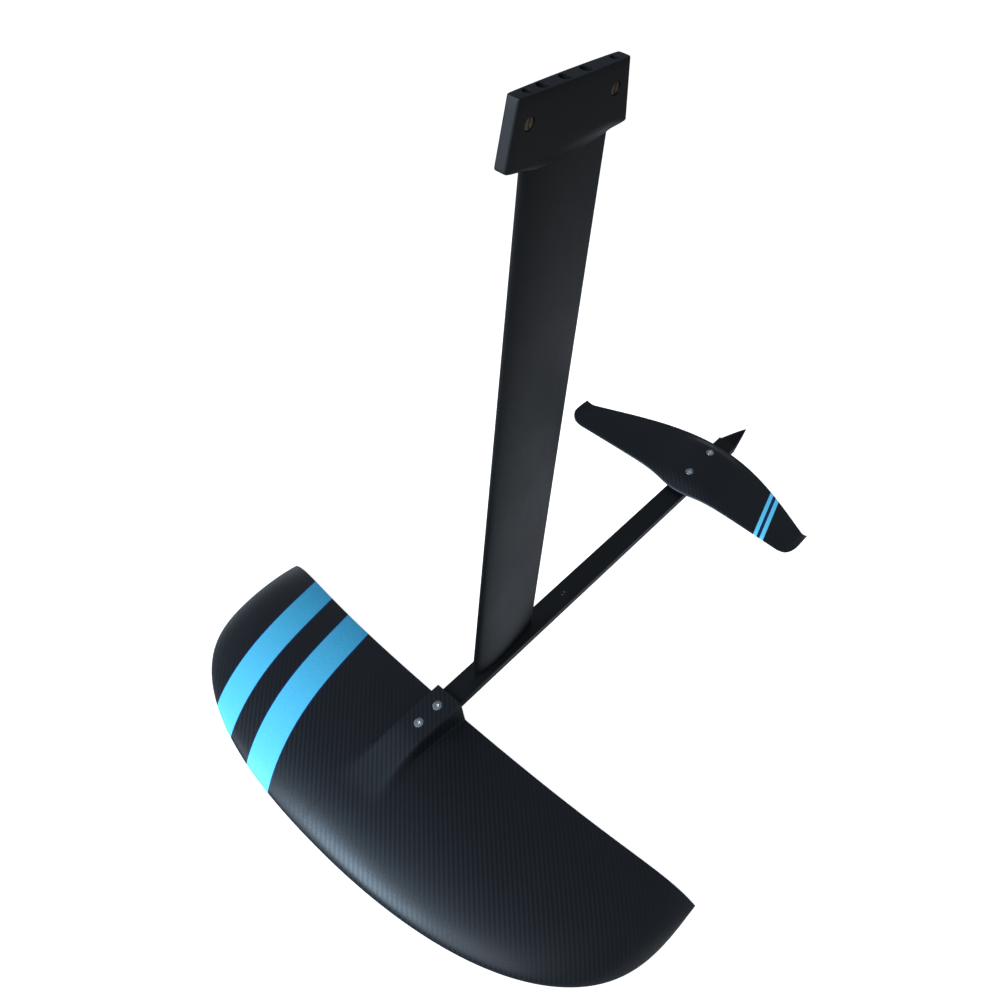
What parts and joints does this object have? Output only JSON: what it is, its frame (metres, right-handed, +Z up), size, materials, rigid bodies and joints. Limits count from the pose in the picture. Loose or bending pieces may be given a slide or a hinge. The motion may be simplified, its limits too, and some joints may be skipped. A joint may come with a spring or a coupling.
{
  "type": "hydrofoil mast wing",
  "caption": "Complete hydrofoil set for a board: mast with a slot-box head, fuselage, drooped carbon front wing and rear stabiliser.",
  "frame": {"origin": "middle of the mast head's flat top face, the face that seats in the board's slot box", "axes": "+Z up along the mast, -Y forward in the direction of travel, +X to port; the head's top face leans 4.5 degrees from level"},
  "size_m": [0.74, 0.965, 0.9265],
  "materials": {
    "anodised_black": "satin black anodised",
    "carbon_laminate": "satin clear-coated carbon laminate, blue and cyan bands on one half of the front wing",
    "stainless_steel": "bright stainless steel",
    "brass": "turned brass, lightly dulled",
    "black_plastic": "moulded satin black"
  },
  "bodies": {
    "foil": {"mast": "anodised_black", "mast_head": "anodised_black", "head_screw_front": "stainless_steel", "head_screw_middle": "stainless_steel", "head_screw_rear": "stainless_steel", "mast_screw_front": "stainless_steel", "mast_screw_middle": "stainless_steel", "mast_screw_rear": "stainless_steel", "fuselage": "anodised_black", "fuselage_plug_screw": "stainless_steel", "fuselage_tail_cap": "black_plastic", "tail_cap_grub_screw": "stainless_steel", "front_wing": "carbon_laminate", "front_wing_screw_front": "stainless_steel", "front_wing_screw_rear": "stainless_steel", "front_wing_insert_front": "stainless_steel", "front_wing_insert_rear": "stainless_steel", "stabiliser": "carbon_laminate", "stabiliser_screw_front": "stainless_steel", "stabiliser_screw_rear": "stainless_steel", "stabiliser_insert_front": "stainless_steel", "stabiliser_insert_rear": "stainless_steel"},
    "front_nut": {"barrel_nut_front": "brass"},
    "rear_nut": {"barrel_nut_rear": "brass"}
  },
  "joints": [
    {"name": "front_nut_turn", "type": "hinge", "parent": "foil", "child": "front_nut", "pos_m": [0, -0.06035, -0.01983], "axis": [1, 0, 0], "continuous": true},
    {"name": "rear_nut_turn", "type": "hinge", "parent": "foil", "child": "rear_nut", "pos_m": [0, 0.0533, -0.02877], "axis": [1, 0, 0], "continuous": true}
  ]
}
